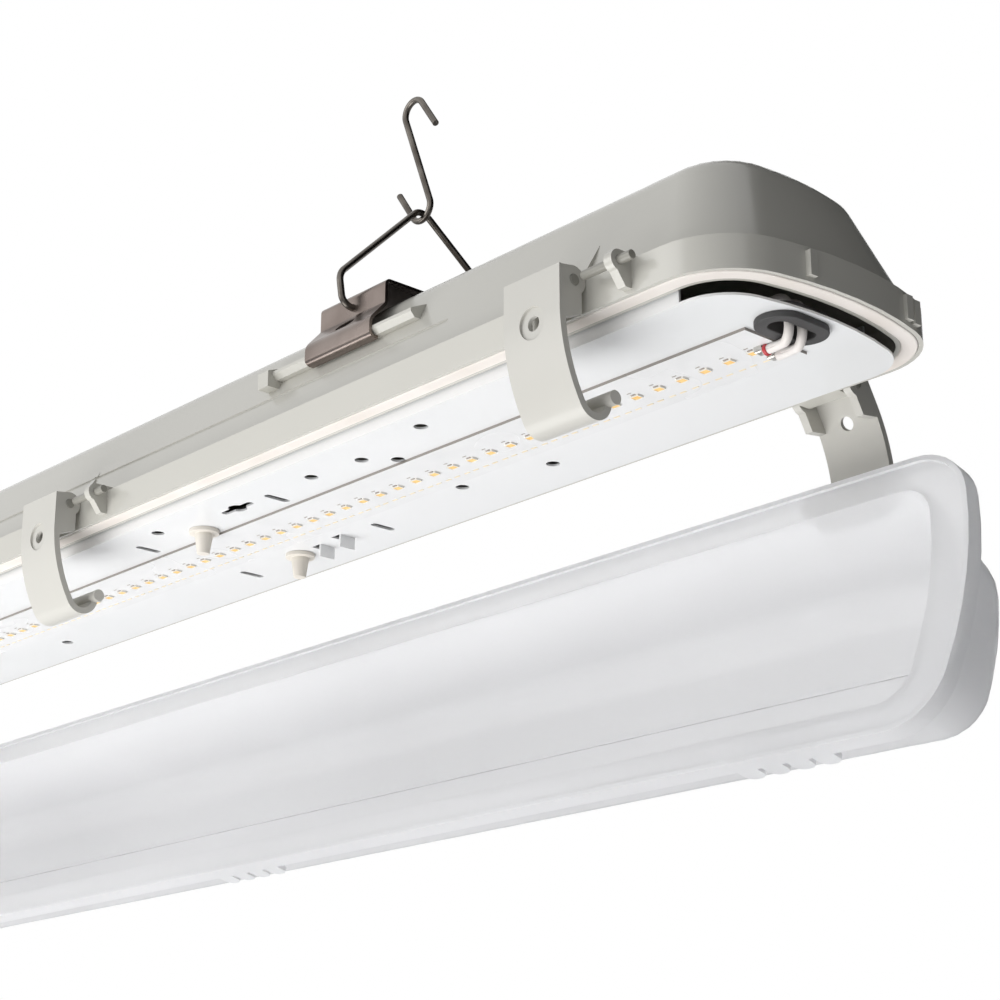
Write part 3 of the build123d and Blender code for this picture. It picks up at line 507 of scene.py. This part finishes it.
def make_led_tree():
    """Row of LED packages with their contacts, and the bare pads beside them."""
    group = bpy.data.node_groups.new("led_row", "GeometryNodeTree")
    add_socket(group, "Count", "NodeSocketInt", "INPUT")
    add_socket(group, "First place", "NodeSocketVector", "INPUT")
    add_socket(group, "Pitch", "NodeSocketVector", "INPUT")
    add_socket(group, "Case size", "NodeSocketVector", "INPUT")
    add_socket(group, "Window share", "NodeSocketFloat", "INPUT")
    add_socket(group, "Window depth", "NodeSocketFloat", "INPUT")
    for part in ("Contact", "Far contact", "Track", "Pad", "Second pad"):
        add_socket(group, part + " size", "NodeSocketVector", "INPUT")
        add_socket(group, part + " place", "NodeSocketVector", "INPUT")
    add_socket(group, "Geometry", "NodeSocketGeometry", "OUTPUT")
    links = group.links
    start = node_at(group, "NodeGroupInput")
    end = node_at(group, "NodeGroupOutput")
    row = node_at(group, "GeometryNodeMeshLine", mode="OFFSET")
    links.new(start.outputs["Count"], row.inputs["Count"])
    links.new(start.outputs["First place"], row.inputs["Start Location"])
    links.new(start.outputs["Pitch"], row.inputs["Offset"])

    case = node_at(group, "GeometryNodeMeshCube")
    facing = node_at(group, "GeometryNodeInputNormal")
    split = node_at(group, "ShaderNodeSeparateXYZ")
    below = node_at(group, "FunctionNodeCompare", operation="LESS_THAN")
    below.inputs["B"].default_value = FACING_DOWN
    rim = node_at(group, "GeometryNodeExtrudeMesh", mode="FACES")
    rim.inputs["Offset Scale"].default_value = 0.0
    shrink = node_at(group, "GeometryNodeScaleElements", domain="FACE")
    sink = node_at(group, "GeometryNodeExtrudeMesh", mode="FACES")
    inward = node_at(group, "ShaderNodeMath", operation="MULTIPLY")
    inward.inputs[1].default_value = -1.0
    mark = node_at(group, "GeometryNodeStoreNamedAttribute", data_type="BOOLEAN", domain="FACE")
    mark.inputs["Name"].default_value = "window"
    spread = node_at(group, "GeometryNodeInstanceOnPoints")
    real = node_at(group, "GeometryNodeRealizeInstances")
    paint = node_at(group, "GeometryNodeSetMaterial")
    paint.inputs["Material"].default_value = led_case
    window = node_at(group, "GeometryNodeInputNamedAttribute", data_type="BOOLEAN")
    window.inputs["Name"].default_value = "window"
    glow = node_at(group, "GeometryNodeSetMaterial")
    glow.inputs["Material"].default_value = finishes["led_yellow"]
    links.new(start.outputs["Case size"], case.inputs["Size"])
    links.new(case.outputs["Mesh"], rim.inputs["Mesh"])
    links.new(facing.outputs["Normal"], split.inputs["Vector"])
    links.new(split.outputs["Z"], below.inputs["A"])
    links.new(below.outputs["Result"], rim.inputs["Selection"])
    links.new(rim.outputs["Mesh"], shrink.inputs["Geometry"])
    links.new(rim.outputs["Top"], shrink.inputs["Selection"])
    links.new(start.outputs["Window share"], shrink.inputs["Scale"])
    links.new(shrink.outputs["Geometry"], sink.inputs["Mesh"])
    links.new(rim.outputs["Top"], sink.inputs["Selection"])
    links.new(start.outputs["Window depth"], inward.inputs[0])
    links.new(inward.outputs["Value"], sink.inputs["Offset Scale"])
    links.new(sink.outputs["Mesh"], mark.inputs["Geometry"])
    links.new(sink.outputs["Top"], mark.inputs["Value"])
    links.new(row.outputs["Mesh"], spread.inputs["Points"])
    links.new(mark.outputs["Geometry"], spread.inputs["Instance"])
    links.new(spread.outputs["Instances"], real.inputs["Geometry"])
    links.new(real.outputs["Geometry"], paint.inputs["Geometry"])
    links.new(paint.outputs["Geometry"], glow.inputs["Geometry"])
    links.new(window.outputs["Attribute"], glow.inputs["Selection"])

    together = node_at(group, "GeometryNodeJoinGeometry")
    blocks = [glow.outputs["Geometry"]]
    for part, finish in (
        ("Contact", led_contact),
        ("Far contact", led_contact),
        ("Track", led_contact),
        ("Pad", bare_pad),
        ("Second pad", bare_pad),
    ):
        size = start.outputs[part + " size"]
        place = start.outputs[part + " place"]
        blocks.append(repeat_block(group, row.outputs["Mesh"], size, place, finish))
    for block in blocks:
        links.new(block, together.inputs["Geometry"])
    links.new(together.outputs["Geometry"], end.inputs["Geometry"])
    return group


led_tree = make_led_tree()
print("LED tree nodes:", len(led_tree.nodes))


# %% Both LED rows
LED_COUNT = 60
LED_LENGTH = 3.5 * MM
CONTACT = (1.9 * MM, 0.5 * MM, 0.3 * MM)
TRACK = (1.7 * MM, 0.4 * MM, 0.1 * MM)
PAD = (2.6 * MM, 0.7 * MM, 0.1 * MM)
PAD_ROW = 8.6 * MM
PAD_SHIFT = -2.2 * MM
SECOND_PAD_SHIFT = 2.4 * MM
TRACK_GAP = 1.7 * MM
TRACK_SHIFT = -0.2 * MM
WINDOW_SHARE = 0.86
WINDOW_DEPTH = 0.12 * MM


def run_tree(name, tree, values):
    """Mesh made by a Geometry Nodes tree whose named inputs are set first."""
    seed_mesh = bpy.data.meshes.new(name + "_seed")
    maker = bpy.data.objects.new(name + "_maker", seed_mesh)
    scene.collection.objects.link(maker)
    modifier = maker.modifiers.new(name, "NODES")
    modifier.node_group = tree
    inputs = [item for item in tree.interface.items_tree if item.in_out == "INPUT"]
    sockets = {item.name: item.identifier for item in inputs}
    for label, value in values.items():
        modifier[sockets[label]] = value
    depsgraph = bpy.context.evaluated_depsgraph_get()
    mesh = bpy.data.meshes.new_from_object(maker.evaluated_get(depsgraph))
    maker.modifiers.remove(modifier)
    bpy.data.objects.remove(maker)
    bpy.data.meshes.remove(seed_mesh)
    mesh.name = name
    piece = bpy.data.objects.new(name, mesh)
    scene.collection.objects.link(piece)
    return piece


for place in ("near", "far"):
    low, high = (Vector(corner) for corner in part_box("leds_" + place))
    middle = (low + high) / 2
    pitch = (high.x - low.x - LED_LENGTH) / (LED_COUNT - 1)
    width = high.y - low.y
    height = high.z - low.z
    side = width / 2 + CONTACT[1] / 2
    foot = height / 2 - CONTACT[2] / 2
    flat = height / 2 - TRACK[2] / 2
    row = run_tree(
        "led_row_" + place,
        led_tree,
        {
            "Count": LED_COUNT,
            "First place": (low.x + LED_LENGTH / 2, middle.y, middle.z),
            "Pitch": (pitch, 0.0, 0.0),
            "Case size": (LED_LENGTH, width, height),
            "Window share": WINDOW_SHARE,
            "Window depth": WINDOW_DEPTH,
            "Contact size": CONTACT,
            "Contact place": (0.0, side, foot),
            "Far contact size": CONTACT,
            "Far contact place": (0.0, -side, foot),
            "Track size": TRACK,
            "Track place": (TRACK_SHIFT, -side - TRACK_GAP, flat),
            "Pad size": PAD,
            "Pad place": (PAD_SHIFT, PAD_ROW, flat),
            "Second pad size": PAD,
            "Second pad place": (SECOND_PAD_SHIFT, PAD_ROW, flat),
        },
    )
    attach(row, "housing")
    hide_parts("leds_" + place)
    print(row.name, "faces:", len(row.data.polygons), "pitch mm:", round(pitch / MM, 2))

# %% [markdown]
# ## The red sleeve
# A short red sleeve marks one lead wire where it meets its solder joint. It is a ring with a rounded
# outside, turned about the wire, so one profile is spun in mesh code.

# %% Red sleeve
WIRE_RADIUS = 1.5 * MM
SLEEVE_START = 0.3 * MM
SLEEVE_LENGTH = 1.3 * MM
SLEEVE_ROUND = 0.15 * MM
SLEEVE_SHOULDER = 1.72 * MM
SLEEVE_RADIUS = 1.85 * MM
SLEEVE_PROFILE = [
    (0.0, WIRE_RADIUS),
    (0.0, SLEEVE_SHOULDER),
    (SLEEVE_ROUND, SLEEVE_RADIUS),
    (SLEEVE_LENGTH - SLEEVE_ROUND, SLEEVE_RADIUS),
    (SLEEVE_LENGTH, SLEEVE_SHOULDER),
    (SLEEVE_LENGTH, WIRE_RADIUS),
]
SLEEVE_SIDES = 24
JOINT_WIDTH = 3.4 * MM

joint_low, joint_high = (Vector(corner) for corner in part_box("solder_joints"))
board_low = Vector(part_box("led_board_near")[0])
wire_axis = (joint_low.y + JOINT_WIDTH / 2, board_low.z - WIRE_RADIUS)
sleeve_points = []
sleeve_faces = []
for side in range(SLEEVE_SIDES):
    angle = radians(360 * side / SLEEVE_SIDES)
    for along, radius in SLEEVE_PROFILE:
        sleeve_points.append(
            (
                joint_high.x + SLEEVE_START + along,
                wire_axis[0] + radius * cos(angle),
                wire_axis[1] + radius * sin(angle),
            )
        )
ring = len(SLEEVE_PROFILE)
for side in range(SLEEVE_SIDES):
    following = (side + 1) % SLEEVE_SIDES
    for step in range(ring):
        ahead = (step + 1) % ring
        sleeve_faces.append(
            (side * ring + step, side * ring + ahead, following * ring + ahead, following * ring + step)
        )
sleeve_mesh = bpy.data.meshes.new("wire_sleeve")
sleeve_mesh.from_pydata(sleeve_points, [], sleeve_faces)
form = bmesh.new()
form.from_mesh(sleeve_mesh)
bmesh.ops.recalc_face_normals(form, faces=form.faces)
form.to_mesh(sleeve_mesh)
form.free()
sleeve_red = make_finish(
    "sleeve_red", srgb(200, 62, 66), srgb(184, 50, 56), (0.35, 0.45), patch=300.0
)
sleeve_mesh.materials.append(sleeve_red)
sleeve = bpy.data.objects.new("wire_sleeve", sleeve_mesh)
scene.collection.objects.link(sleeve)
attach(sleeve, "housing")
print("sleeve faces:", len(sleeve_faces))

# %% [markdown]
# ## The studio
# The photo has a plain white background. The world is white to the camera, to reflections and
# through clear things, and lights the object at a plain level otherwise.
# A pale floor far below keeps the shadow.

# %% World
DAYLIGHT_COLOUR = (0.97, 0.98, 1.0, 1)
DAYLIGHT_STRENGTH = 0.5

world = bpy.data.worlds.new("white_studio")
scene.world = world
world.use_nodes = True
tree = world.node_tree
tree.nodes.clear()
output = tree.nodes.new("ShaderNodeOutputWorld")
path = tree.nodes.new("ShaderNodeLightPath")
seen = tree.nodes.new("ShaderNodeMath")
seen.operation = "MAXIMUM"
seen_or_clear = tree.nodes.new("ShaderNodeMath")
seen_or_clear.operation = "MAXIMUM"
backdrop = tree.nodes.new("ShaderNodeBackground")
backdrop.inputs["Color"].default_value = (1, 1, 1, 1)
backdrop.inputs["Strength"].default_value = 1.0
daylight = tree.nodes.new("ShaderNodeBackground")
daylight.inputs["Color"].default_value = DAYLIGHT_COLOUR
daylight.inputs["Strength"].default_value = DAYLIGHT_STRENGTH
choose = tree.nodes.new("ShaderNodeMixShader")
tree.links.new(path.outputs["Is Camera Ray"], seen.inputs[0])
tree.links.new(path.outputs["Is Glossy Ray"], seen.inputs[1])
tree.links.new(seen.outputs["Value"], seen_or_clear.inputs[0])
tree.links.new(path.outputs["Is Transmission Ray"], seen_or_clear.inputs[1])
tree.links.new(seen_or_clear.outputs["Value"], choose.inputs["Fac"])
tree.links.new(daylight.outputs["Background"], choose.inputs[1])
tree.links.new(backdrop.outputs["Background"], choose.inputs[2])
tree.links.new(choose.outputs["Shader"], output.inputs["Surface"])


# %% Lamps
LAMP_SIZE = 1.6
KEY_PLACE = (-0.6, -2.3, 0.4)
KEY_TARGET = (0.2, 0, -0.05)
KEY_POWER = 21.0
FILL_PLACE = (0.0, -0.4, -1.2)
FILL_TARGET = (0.1, 0, -0.05)
FILL_POWER = 28.0


def softbox(name, place, target, power):
    """Square area lamp that faces a point."""
    lamp_data = bpy.data.lights.new(name, "AREA")
    lamp_data.size = LAMP_SIZE
    lamp_data.energy = power
    lamp = bpy.data.objects.new(name, lamp_data)
    lamp.location = place
    lamp.rotation_euler = (Vector(target) - Vector(place)).to_track_quat("-Z", "Y").to_euler()
    scene.collection.objects.link(lamp)


softbox("key_lamp", KEY_PLACE, KEY_TARGET, KEY_POWER)
softbox("low_fill", FILL_PLACE, FILL_TARGET, FILL_POWER)


# %% Helpers for the studio's own things
def plain_paint(name, shade, roughness):
    """Plain grey paint of one shade."""
    paint = bpy.data.materials.new(name)
    paint.use_nodes = True
    shader = paint.node_tree.nodes["Principled BSDF"]
    shader.inputs["Base Color"].default_value = (shade, shade, shade, 1)
    shader.inputs["Roughness"].default_value = roughness
    return paint


def flat_sheet(name, corners, paint):
    """Sheet with four corners."""
    mesh = bpy.data.meshes.new(name)
    mesh.from_pydata(corners, [], [(0, 1, 2, 3)])
    mesh.materials.append(paint)
    sheet = bpy.data.objects.new(name, mesh)
    scene.collection.objects.link(sheet)
    return sheet


# %% [markdown]
# ## Two dark cards
# The end of the shell turns away from the lamps and is dark in the photo. On white ground that needs
# something dark for it to face, so one black card stands off the end and one hangs above and behind.
# They are hidden from the camera and from rays through the lens, and only shade and reflect.

# %% Dark cards
END_CARD_X = 1.25
END_CARD_Y = (-0.25, 2.2)
END_CARD_Z = (-0.35, 1.7)
TOP_CARD_X = (0.0, 2.0)
TOP_CARD_FRONT = (0.42, 1.3)
TOP_CARD_BACK = (1.9, 0.5)
CARD_CORNERS = [
    [
        (END_CARD_X, END_CARD_Y[0], END_CARD_Z[0]),
        (END_CARD_X, END_CARD_Y[1], END_CARD_Z[0]),
        (END_CARD_X, END_CARD_Y[1], END_CARD_Z[1]),
        (END_CARD_X, END_CARD_Y[0], END_CARD_Z[1]),
    ],
    [
        (TOP_CARD_X[1], *TOP_CARD_FRONT),
        (TOP_CARD_X[0], *TOP_CARD_FRONT),
        (TOP_CARD_X[0], *TOP_CARD_BACK),
        (TOP_CARD_X[1], *TOP_CARD_BACK),
    ],
]
CARD_SHADE = 0.012
CARD_ROUGHNESS = 0.95
CARD_SPECULAR = 0.1

card_paint = plain_paint("card_black", CARD_SHADE, CARD_ROUGHNESS)
card_paint.node_tree.nodes["Principled BSDF"].inputs["Specular IOR Level"].default_value = CARD_SPECULAR
for number, corners in enumerate(CARD_CORNERS):
    card = flat_sheet(f"dark_card_{number}", corners, card_paint)
    card.visible_camera = False
    card.visible_transmission = False
print("dark cards:", len(CARD_CORNERS))

# %% Floor
FLOOR_HEIGHT = -1.3
FLOOR_REACH = 12.0
FLOOR_SHADE = 0.86
FLOOR_ROUGHNESS = 0.9
FLOOR_CORNERS = [
    (-FLOOR_REACH, -FLOOR_REACH, FLOOR_HEIGHT),
    (FLOOR_REACH, -FLOOR_REACH, FLOOR_HEIGHT),
    (FLOOR_REACH, FLOOR_REACH, FLOOR_HEIGHT),
    (-FLOOR_REACH, FLOOR_REACH, FLOOR_HEIGHT),
]

floor = flat_sheet("floor", FLOOR_CORNERS, plain_paint("floor_paint", FLOOR_SHADE, FLOOR_ROUGHNESS))
